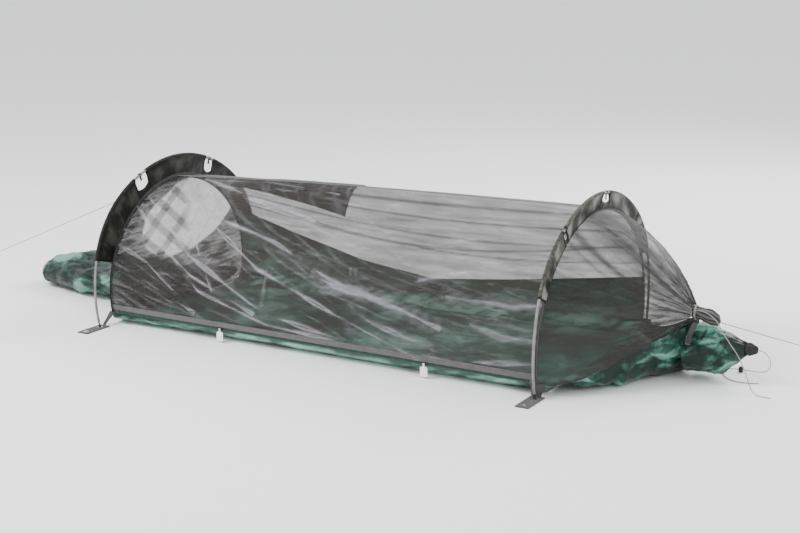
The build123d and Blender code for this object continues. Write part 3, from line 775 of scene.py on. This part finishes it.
def seam_place(u, v):
    x = panel_x(u)
    y = (v - 0.5) * 0.016
    top = through(canopy, x)[1]
    pucker = noise.noise(Vector((x * 60, y * 40, 2))) * 0.0006
    return Vector((x, y, top + 0.0022 + pucker - abs(y) * 0.12)), 0.5


finish_soft(grid("ridge_seam", 300, 6, seam_place, seam_grey), "ridge_seam_tape")


def hem_place(u, v):
    x = panel_x(u)
    half_width, top, bulge, rise, run = through(canopy, x)
    t = v * 0.028
    y, z = arch(-1, half_width, hem_z, top, bulge, rise, run, t)
    pucker = noise.noise(Vector((x * 22, z * 30, 6))) * 0.0012
    edge = 0.0012 * math.sin(math.pi * v)
    return Vector((x, y - 0.0028 - edge - pucker * min(1, v * 3), z)), 0.5


finish_soft(grid("hem_band", 360, 8, hem_place, band_grey), "near_hem_band")


# ---- End nets ---------------------------------------------------------------
end_half, end_low, end_top = 0.424, 0.05, 0.5135


def head_end_place(u, v):
    """Net panel in the head hoop; u runs from the near side to the far side."""
    s = 2 * u - 1
    t = 1 - abs(s)
    y, z_top = arch(1 if s > 0 else -1, end_half, end_low, end_top, *HOOP_ARCH, t)
    z = 0.006 + v * (z_top - 0.006)
    y *= 1 - 0.15 * max(0.0, (end_low - z) / end_low)
    bow = -0.006 * math.sin(math.pi * v) * (1 - s * s)
    fold = ridges(y * 14 + z * 9, z * 2, 21.0)
    ring = math.hypot((y - 0.08) / 0.315, (z - 0.35 - 0.16 * (y - 0.08)) / 0.152)
    ring += 0.07 * noise.noise(Vector((y * 9, z * 9, 2)))
    window = min(1.0, max(0.0, (ring - 0.94) / 0.05))
    falling = math.sin((z + 0.75 * y) * TURN / 0.105)
    rising = math.sin((z - 0.8 * y + 0.03) * TURN / 0.15)
    bands = min(1.0, max(0.0, falling * 3 - 0.6)) * 0.62 + min(1.0, max(0.0, rising * 3 - 1.2)) * 0.55
    bands *= min(1.0, max(0.0, (0.1 - y) / 0.06))
    line = max(0.0, 1 - abs((z - 0.9 * y - 0.28 + 0.11) % 0.11 - 0.055) / 0.005) * 0.45
    return Vector((head_x + bow + fold * 0.001, y, z)), max(fold * 0.25, window, min(0.9, bands), line)


head_net_cloth = net_material("head_net", (0.12, 0.115, 0.105), (0.02, 0.022, 0.022), 0.2, 0.92)
head_net = finish_soft(grid("head_net", 200, 110, head_end_place, head_net_cloth), "head_end_net")

# x, half width, edge height, top height, bulge, rise, run
cone = (
    (foot_x - 0.001, 0.474, 0.047, 0.5445, *HOOP_ARCH),
    (1.13, 0.345, 0.08, 0.464, *SLACK_ARCH),
    (1.24, 0.2, 0.15, 0.357, *SLACK_ARCH),
    (1.321, 0.04, 0.196, 0.25, *SLACK_ARCH),
)


# share round the cone at the hoop and at the neck, half width and strength of dark doubled folds
cone_bands = (
    (0.485, 0.42, 0.062, 0.95),
    (0.46, 0.33, 0.058, 0.95),
    (0.37, 0.22, 0.014, 0.9),
    (0.335, 0.19, 0.006, 0.6),
    (0.41, 0.27, 0.005, 0.5),
    (0.1, 0.1, 0.038, 0.9),
    (0.175, 0.14, 0.013, 0.75),
    (0.25, 0.17, 0.006, 0.55),
    (0.6, 0.54, 0.03, 0.7),
    (0.8, 0.75, 0.03, 0.6),
)


def cone_place(u, v):
    """u runs along the sack, v from the near edge over the top to the far edge."""
    x = cone[0][0] + u * (cone[-1][0] - cone[0][0])
    side = -1 if v < 0.5 else 1
    t = 1 - abs(2 * v - 1)
    half_width, low, top, bulge, rise, run = through(cone, x)
    y, z = arch(side, half_width, low, top, bulge, rise, run, t)
    pleat = ridges(v * 34 + 0.8 * u, u * 1.4, 31.0)
    tight = u**1.6
    fold = min(1.0, pleat * (0.45 + 0.6 * tight) + tight * 0.5)
    for start, end, wide, strength in cone_bands:
        across = (v - start - (end - start) * u**0.8) / (wide * (1 - 0.55 * u))
        fold = max(fold, strength * math.exp(-(across**2)))
    rise_by = pleat * (0.003 + 0.005 * u) * min(1, u * 12)
    return Vector((x, y, z)) + outward(y, z - low * 0.5) * rise_by, fold


foot_net = finish_soft(grid("foot_net", 110, 200, cone_place, cone_net), "foot_end_net")


# ---- Floor, trough, tails and gathers ---------------------------------------
def floor_place(u, v):
    """v runs from the near rim, under the sleeper, to the far rim."""
    x = head_x - 0.006 + u * (foot_x - head_x + 0.009)
    part = min(1.0, max(0.0, sack_part(x)))
    floor_y, rim_y = 0.36 + 0.045 * part, 0.425 + 0.05 * part
    s = 2 * v - 1
    side = -1 if s < 0 else 1
    wall = (abs(s) - 0.8) / 0.2
    if wall < 0:
        p = Vector((x, s / 0.8 * floor_y, 0))
        crease, painted_facet_light = crushed(p, 0.2, 11)
        p.z = 0.001 + max(0.0, crease * 0.01) * min(1, -wall * 3)
        # Colour: painted light and shade from the crease height and the facets' turn to the light.
        return p, 0.46 + crease * 0.3 + painted_facet_light * 0.2
    p = Vector((x, side * (floor_y + (rim_y - floor_y) * wall), rim_z * wall))
    crease, painted_facet_light = crushed(Vector((x * 0.8, side * 0.4, p.z * 2.2)), 0.085, 14)
    belly = math.sin(math.pi * wall) * (1 - 0.45 * wall)
    loose = 0.35 + max(0.0, 1 - part / 0.22) + max(0.0, 1 - (1 - part) / 0.1)
    p.y += side * (0.009 + 0.02 * max(0.0, 1 - part / 0.24) + crease * 0.034 * loose) * belly
    p.z = max(LOWEST, p.z + crease * 0.01 * belly * loose)
    # painted_shade_base: painted shade where the wall lies loose and crumpled, and a painted hem shadow
    # along its top.
    painted_shade_base = 0.72 - 0.36 * max(0.0, loose - 0.35) - 0.45 * max(0.0, wall - 0.62) / 0.38
    return p, painted_shade_base + (crease * 0.5 + painted_facet_light * 0.35) * (0.35 + 0.8 * loose)


floor = finish_soft(
    grid("floor", 320, 90, floor_place, floor_green_painted_light), "floor_tub", fold=False
)

# x, half width, edge height, lowest
trough = (
    (foot_x - 0.0025, 0.475, 0.045, 0.0),
    (1.13, 0.345, 0.078, 0.0),
    (1.24, 0.2, 0.148, 0.008),
    (1.318, 0.072, 0.19, 0.022),
)


def trough_place(u, v):
    x = trough[0][0] + u * (trough[-1][0] - trough[0][0])
    side = -1 if v < 0.5 else 1
    t = 1 - abs(2 * v - 1)
    half_width, edge, low = through(trough, x)
    y, z = arch(side, half_width, edge, max(0.0, low), 0.02, 0.55, 0.72, t)
    crease, painted_facet_light = crushed(Vector((x * 1.1, y, z * 1.4)), 0.09, 4)
    rise = crease * 0.034 * min(1, u * 6) * min(1, t * 6)
    p = Vector((x, y, z)) + Vector((0, side * 0.7 * min(1, abs(y) * 6), -0.7)) * rise
    p.z = max(LOWEST, p.z)
    # Colour: painted light and shade from the crease height and the facets' turn to the light.
    return p, 0.4 + crease * 0.5 + painted_facet_light * 0.42


trough_cloth = finish_soft(grid("foot_cloth", 110, 170, trough_place, green), "foot_trough")

# x, half width, lowest, highest
head_tail = (
    (head_x - gap, 0.395, 0.0, 0.1),
    (-0.96, 0.265, 0.0, 0.112),
    (-1.11, 0.2, 0.0, 0.126),
    (-1.37, 0.138, 0.0, 0.14),
    (-1.5, 0.108, 0.002, 0.118),
    (-1.545, 0.06, 0.012, 0.088),
)
foot_tail = (
    (1.32, 0.112, 0.022, 0.178),
    (1.36, 0.104, 0.024, 0.18),
    (1.43, 0.074, 0.034, 0.172),
    (1.506, 0.022, 0.1, 0.144),
)


def tail_surface(table, size, depth, first):
    """place(u, v) of a crumpled tail, from the sack at u 0 to its gathered end at u 1."""
    start, end = table[0][0], table[-1][0]

    def place(u, v):
        x = start + u * (end - start)
        half_width, low, high = between(table, x)
        angle = TURN * v
        y, z = half_width * math.cos(angle), (low + high) / 2 + (high - low) / 2 * math.sin(angle)
        crease, painted_facet_light = crushed(Vector((x * 0.8, y, z * 1.1)), size, first)
        pleat = ridges(v * 22, u * 1.5, 40.0 + first)
        reach = min(1, u * 8 + 0.2) * (1 - 0.75 * u**3)
        rise = crease * depth * reach + pleat * 0.006 * u
        p = Vector((x, y + math.cos(angle) * rise, z + math.sin(angle) * rise))
        p.x += crease * 0.4 * depth * math.sin(math.pi * u)
        p.z = min(max(LOWEST, p.z), high + 0.006)
        # Colour: painted light and shade from the crease height, the facets' turn to the light and the
        # pleats.
        return p, 0.38 + crease * 0.5 + painted_facet_light * 0.42 + pleat * 0.15 * u

    return place


head_cloth = finish_soft(
    grid("head_tail_cloth", 150, 130, tail_surface(head_tail, 0.085, 0.046, 1), green, wrap=True),
    "head_tail",
)
foot_cloth = finish_soft(
    grid("foot_tail_cloth", 90, 110, tail_surface(foot_tail, 0.075, 0.026, 9), green, wrap=True),
    "foot_tail",
)

cuff_low, cuff_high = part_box("foot_gather_cuff")
cuff_z = (cuff_low[2] + cuff_high[2]) / 2
cuff_shape = (
    (0.0, 0.02), (0.12, 0.0212), (0.3, 0.022), (0.55, 0.0175), (0.85, 0.0125), (1.0, 0.0098), (1.001, 0.004)
)


def cuff_place(u, v):
    radius = between(cuff_shape, min(u * 1.001, 1.001))[0]
    angle = TURN * v
    pleat = 0.0011 * math.sin(angle * 11 + u * 2) * min(1, u * 5)
    radius += pleat * (1 if u < 0.97 else 0)
    x = cuff_low[0] + min(u, 1.0) * (cuff_high[0] - cuff_low[0])
    return Vector((x, radius * math.cos(angle), cuff_z + radius * math.sin(angle))), 0.5


finish_soft(grid("tip_cuff", 40, 88, cuff_place, rubber, wrap=True), "foot_gather_cuff")

# x, height, radius
bunch = ((1.322, 0.226, 0.021), (1.346, 0.223, 0.021), (1.385, 0.215, 0.025), (1.413, 0.204, 0.017))


def bunch_place(u, v):
    x = 1.318 + u * 0.095
    height, radius = between(bunch, x)
    if u > 0.97:
        radius *= 0.35
    angle = TURN * v
    pleat = 0.5 + 0.5 * math.sin(angle * 9 + 2.5 * noise.noise(Vector((u * 3, v * 5, 1))))
    lump = noise.noise(Vector((x * 45, math.cos(angle) * 1.5, math.sin(angle) * 1.5)))
    radius *= 0.86 + 0.16 * pleat + 0.14 * lump * min(1, u * 3)
    # Colour: painted light on the pleats' ridges and painted shade in their hollows.
    return Vector((x, radius * math.cos(angle), height + radius * math.sin(angle))), pleat * 0.8


finish_soft(grid("net_bunch", 40, 96, bunch_place, bunch_net, wrap=True), "net_gather_tail")


# ---- Straps, tabs and sleeves -----------------------------------------------
# across and up, from -1 to 1, round the section of a webbing with rounded edges
RIBBON_SECTION = (
    (-1, 0), (-0.96, 0.8), (-0.5, 1), (0, 1), (0.5, 1), (0.96, 0.8),
    (1, 0), (0.96, -0.8), (0.5, -1), (0, -1), (-0.5, -1), (-0.96, -0.8),
)


def ribbon(name, line, width_axis, width, thick, material):
    """Flat webbing along a line of (point, width factor)."""
    across = Vector(width_axis).normalized()
    points = []
    for n, (here, factor) in enumerate(line):
        ahead = (line[min(n + 1, len(line) - 1)][0] - line[max(n - 1, 0)][0]).normalized()
        up = ahead.cross(across).normalized()
        half = width * factor / 2
        points += [here + across * half * a + up * thick / 2 * b for a, b in RIBBON_SECTION]
    faces = ring_faces(len(line), len(RIBBON_SECTION))
    return build(name, points, faces, material, [0.5] * len(points))


foot_y = 0.50243  # half the distance between a pole's feet
for x, end, rim_y in ((head_x, "head", 0.425), (foot_x, "foot", 0.475)):
    for side, label in ((-1, "near"), (1, "far")):
        top_y, low_y = rim_y + 0.0043, max(foot_y - 0.028, rim_y + 0.0085) + 0.0008
        line = []
        for n in range(17):
            part = n / 16
            bow = 0.004 * math.sin(math.pi * part)
            y = top_y + (low_y - top_y) * part**1.15 + bow
            z = 0.048 - 0.0448 * part
            spread = 1.45 if end == "foot" else 0.62
            wide = spread * (1 - 0.4 * part) + 0.03 * math.sin(9 * part + side)
            line.append((Vector((x + 0.002 * math.sin(5 * part), side * y, z)), wide))
        strap = ribbon(f"{end}_{label}_strap", line, (1, 0, 0), 0.038, 0.0016, grey_webbing)
        finish_soft(strap, "corner_straps", fold=False)

tab_route = (
    (-0.027, 0.2012), (-0.046, 0.1975), (-0.062, 0.19), (-0.082, 0.1795), (-0.098, 0.1655),
    (-0.109, 0.152), (-0.1165, 0.141),
)
tab_line = [(Vector((1.341, y, z)), 1.0 - 0.1 * n / 6) for n, (y, z) in enumerate(tab_route)]
flap = ribbon("gather_flap", tab_line, (1, 0, 0), 0.02, 0.0014, dark_webbing)
finish_soft(flap, "gather_tab")


def boxy_ring(across_power, up_power):
    """Pairs from -1 to 1 round a closed loop; a lower power makes it boxier."""
    for k in range(49):
        c, s = math.cos(TURN * k / 48), math.sin(TURN * k / 48)
        yield math.copysign(abs(c) ** across_power, c), math.copysign(abs(s) ** up_power, s)


loop_low, loop_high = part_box("gear_loops")
for n, x in enumerate((loop_low[0] + 0.006, loop_high[0] - 0.006)):
    middle_y, middle_z = (loop_low[1] + loop_high[1]) / 2, (loop_low[2] + loop_high[2]) / 2
    half_y, half_z = (loop_high[1] - loop_low[1]) / 2 - 0.0007, (loop_high[2] - loop_low[2]) / 2 - 0.0007
    line = [
        (Vector((x, middle_y + half_y * across, middle_z + half_z * up)), 1.0)
        for across, up in boxy_ring(0.5, 0.35)
    ]
    gear_loop = ribbon(f"gear_loop_{n}", line, (1, 0, 0), 0.012, 0.0014, pale_webbing)
    finish_soft(gear_loop, "gear_loops")


def wound(node, turns, radius):
    """Cord wound round the gathered cloth along X, in its CAD node's place."""
    low, high = (Vector(corner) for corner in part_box(node))
    middle, around = (low + high) / 2, (high.z - low.z) / 2 - radius
    line = []
    for k in range(36 * turns + 1):
        angle = TURN * k / 36
        x = low.x + radius + (high.x - low.x - 2 * radius) * k / (36 * turns)
        line.append(Vector((x, middle.y + around * math.cos(angle), middle.z + around * math.sin(angle))))
    return finish_soft(tube(f"{node}_braid", line, radius, braid), node)


wound("head_gather_cord", 1, 0.002)
wound("net_gather_tie", 3, cord_r)
guy_low, guy_high = (Vector(corner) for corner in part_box("head_guy_loop"))
guy_middle, guy_half = (guy_low + guy_high) / 2, (guy_high - guy_low) / 2 - Vector((0.0008, 0, 0.0008))
loop_line = [
    (guy_middle + Vector((guy_half.x * across, 0, guy_half.z * up)), 1.0)
    for across, up in boxy_ring(0.6, 0.8)
]
finish_soft(
    ribbon("head_guy_webbing", loop_line, (0, 1, 0), guy_high.y - guy_low.y, 0.0015, dark_webbing),
    "head_guy_loop",
)

# the pole's line: three arcs on each side, their radii, the height of the top and where the arcs meet
crown_r, shoulder_r, leg_r, hoop_top = 0.61, 0.375, 0.51, 0.596
crown_turn, shoulder_turn = math.radians(36), math.radians(73)
crown = (0.0, hoop_top - crown_r)
shoulder = (
    -(crown_r - shoulder_r) * math.sin(crown_turn),
    crown[1] + (crown_r - shoulder_r) * math.cos(crown_turn),
)
leg = (
    shoulder[0] + (leg_r - shoulder_r) * math.sin(shoulder_turn),
    shoulder[1] - (leg_r - shoulder_r) * math.cos(shoulder_turn),
)


def hoop_point(turn):
    """((y, z), outward direction) of the pole's line; a turn is 0 at the top, positive on the near side."""
    a = math.radians(abs(turn))
    if a <= crown_turn:
        centre, radius = crown, crown_r
    elif a <= shoulder_turn:
        centre, radius = shoulder, shoulder_r
    else:
        centre, radius = leg, leg_r
    side = 1 if turn >= 0 else -1
    y = centre[0] - radius * math.sin(a)
    z = centre[1] + radius * math.cos(a)
    return (side * y, z), (-side * math.sin(a), math.cos(a))


@functools.lru_cache(None)
def web_depth(turn, row):
    """Distance from the pole's line in to the canopy's edge at a hoop."""
    (y, z), (ny, nz) = hoop_point(turn)
    offsets = []
    for n in range(161):
        edge_y, edge_z = arch(-1 if turn >= 0 else 1, row[1], 0.05, *row[2:], n / 160)
        inward = (y - edge_y) * ny + (z - edge_z) * nz
        if inward > 0:
            offsets.append((abs((edge_y - y) * nz - (edge_z - z) * ny), inward))
    return min(offsets)[1] + 0.002


def sleeve_surface(x, first, last, row, seed, rough):
    """Cloth tube round the pole and its doubled web, as a closed loop of v."""

    def place(u, v):
        turn = first + u * (last - first)
        (y, z), (ny, nz) = hoop_point(turn)
        depth = web_depth(turn, row)
        if v < 0.36 or v > 0.64:
            part = v / 0.36 if v < 0.36 else (1 - v) / 0.36
            face = 1 if v < 0.36 else -1
            inward = -depth * (1 - part)
            near_pole = max(0.0, (inward + 0.02) / 0.02)
            thick = 0.0011 + 0.0058 * near_pole**1.5
            arc = u * abs(last - first) * 0.0095
            crease = crumple(Vector((arc, inward, 0.1 * seed)), 0.045, int(seed), 5)
            pinch = ridges(arc * 26 + inward * 8, inward * 14, seed)
            bend = (crease * 0.0045 + pinch * 0.002) * rough * math.sin(math.pi * min(1.0, part + 0.15))
            off = face * thick + bend
            shade = 0.42 + crease * 1.0 + pinch * 0.35
        else:
            angle = math.pi * (v - 0.36) / 0.28
            inward = 0.0073 * math.sin(angle)
            off = 0.0069 * math.cos(angle)
            pinch = noise.noise(Vector((u * 40, v * 9, seed)))
            shade = 0.45 + 0.35 * pinch
        bound = min(u, 1 - u) * abs(last - first)
        if bound < 0.9 or inward < -depth + 0.005:
            shade = 0.0
        return Vector((x + off, y + ny * inward, z + nz * inward)), shade

    return place


def gap_surface(x, first, last, row, seed):
    """Inner half of the web across a gap between two sleeves, as a closed loop of v."""

    def place(u, v):
        turn = first + u * (last - first)
        (y, z), (ny, nz) = hoop_point(turn)
        depth = web_depth(turn, row)
        part = 2 * v if v < 0.5 else 2 - 2 * v
        outer = depth * (0.52 + 0.12 * math.sin(math.pi * u))
        inward = -depth + part * (depth - outer)
        face = 1 if v < 0.5 else -1
        shade = 0.0 if part > 0.85 else 0.4 + 0.4 * noise.noise(Vector((u * 3, part * 3, seed)))
        off = face * 0.0012 * math.sin(math.pi * min(1.0, max(0.02, part)) ** 0.5)
        return Vector((x + off, y + ny * inward, z + nz * inward)), shade

    return place


def binding(name, x, row):
    """Dark tape sewn round the canopy's edge beside a hoop."""

    def place(u, v):
        s = 2 * u - 1
        y, z = arch(-1 if s < 0 else 1, row[1], 0.047, *row[2:], 1 - abs(s))
        angle = TURN * v
        return (
            Vector((x + 0.0014 * math.sin(angle), y, z)) + outward(y, z) * (0.0105 * math.cos(angle)),
            0.5,
        )

    piece = grid(name, 180, 12, place, binding_cloth, wrap=True)
    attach(piece, "root")
    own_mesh(piece)


for end, x, row, turns, cloth, rough in (
    ("head", head_x, canopy[0], ((26, 76), (-18, 19), (-76, -23)), sleeve_painted_shade, 0.9),
    ("foot", foot_x, canopy[2], ((30, 66), (-3, 28.5), (-66, -8.5)), sleeve_painted_light, 1.0),
):
    for seed, (label, (first, last)) in enumerate(zip(("near", "crown", "far"), turns)):
        columns = max(30, int(abs(last - first) * 2.6))
        place = sleeve_surface(x, first, last, row, 3.0 + 5 * seed + (8 if end == "foot" else 0), rough)
        cover = grid(f"{end}_{label}_sleeve", columns, 72, place, cloth, wrap=True)
        finish_soft(cover, f"{end}_sleeve_{label}", body=f"{end}_hoop", fold=False)
    for label, first, last in (("near", turns[1][1], turns[0][0]), ("far", turns[2][1], turns[1][0])):
        place = gap_surface(x, first, last, row, 7.0)
        patch = grid(f"{end}_{label}_gap_web", 12, 24, place, cloth, wrap=True)
        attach(patch, f"{end}_hoop")
    inner = 1 if end == "head" else -1
    binding(f"{end}_edge_binding", x + inner * 0.0042, row)

# ---- Stage ------------------------------------------------------------------
floor_shader = Shader("studio_floor", (0.96, 0.96, 0.955), 0.85)
floor_shader.bump(floor_shader.noise(floor_shader.coordinates(), 40), 0.0004, 0.2)
bpy.ops.mesh.primitive_plane_add(size=60, location=(0, 0, -0.0006))
stage_floor = bpy.context.object
stage_floor.name = "studio_floor"
stage_floor.data.materials.append(floor_shader.material)

world = bpy.data.worlds.new("world")
scene.world = world
world.use_nodes = True
world.node_tree.nodes["Background"].inputs["Color"].default_value = (0.96, 0.97, 1.0, 1)
world.node_tree.nodes["Background"].inputs["Strength"].default_value = 1.35
for name, place, size, power in (
    ("key", (-2.6, -3.2, 4.2), 2.0, 300),
    ("rim", (1.5, 4.0, 3.6), 2.5, 220),
    ("fill", (4.5, -2.5, 2.6), 2.0, 60),
):
    light = bpy.data.lights.new(name, "AREA")
    light.size = size
    light.energy = power
    lamp = bpy.data.objects.new(name, light)
    lamp.location = place
    lamp.rotation_euler = (Vector((0, 0, 0.25)) - lamp.location).to_track_quat("-Z", "Y").to_euler()
    scene.collection.objects.link(lamp)
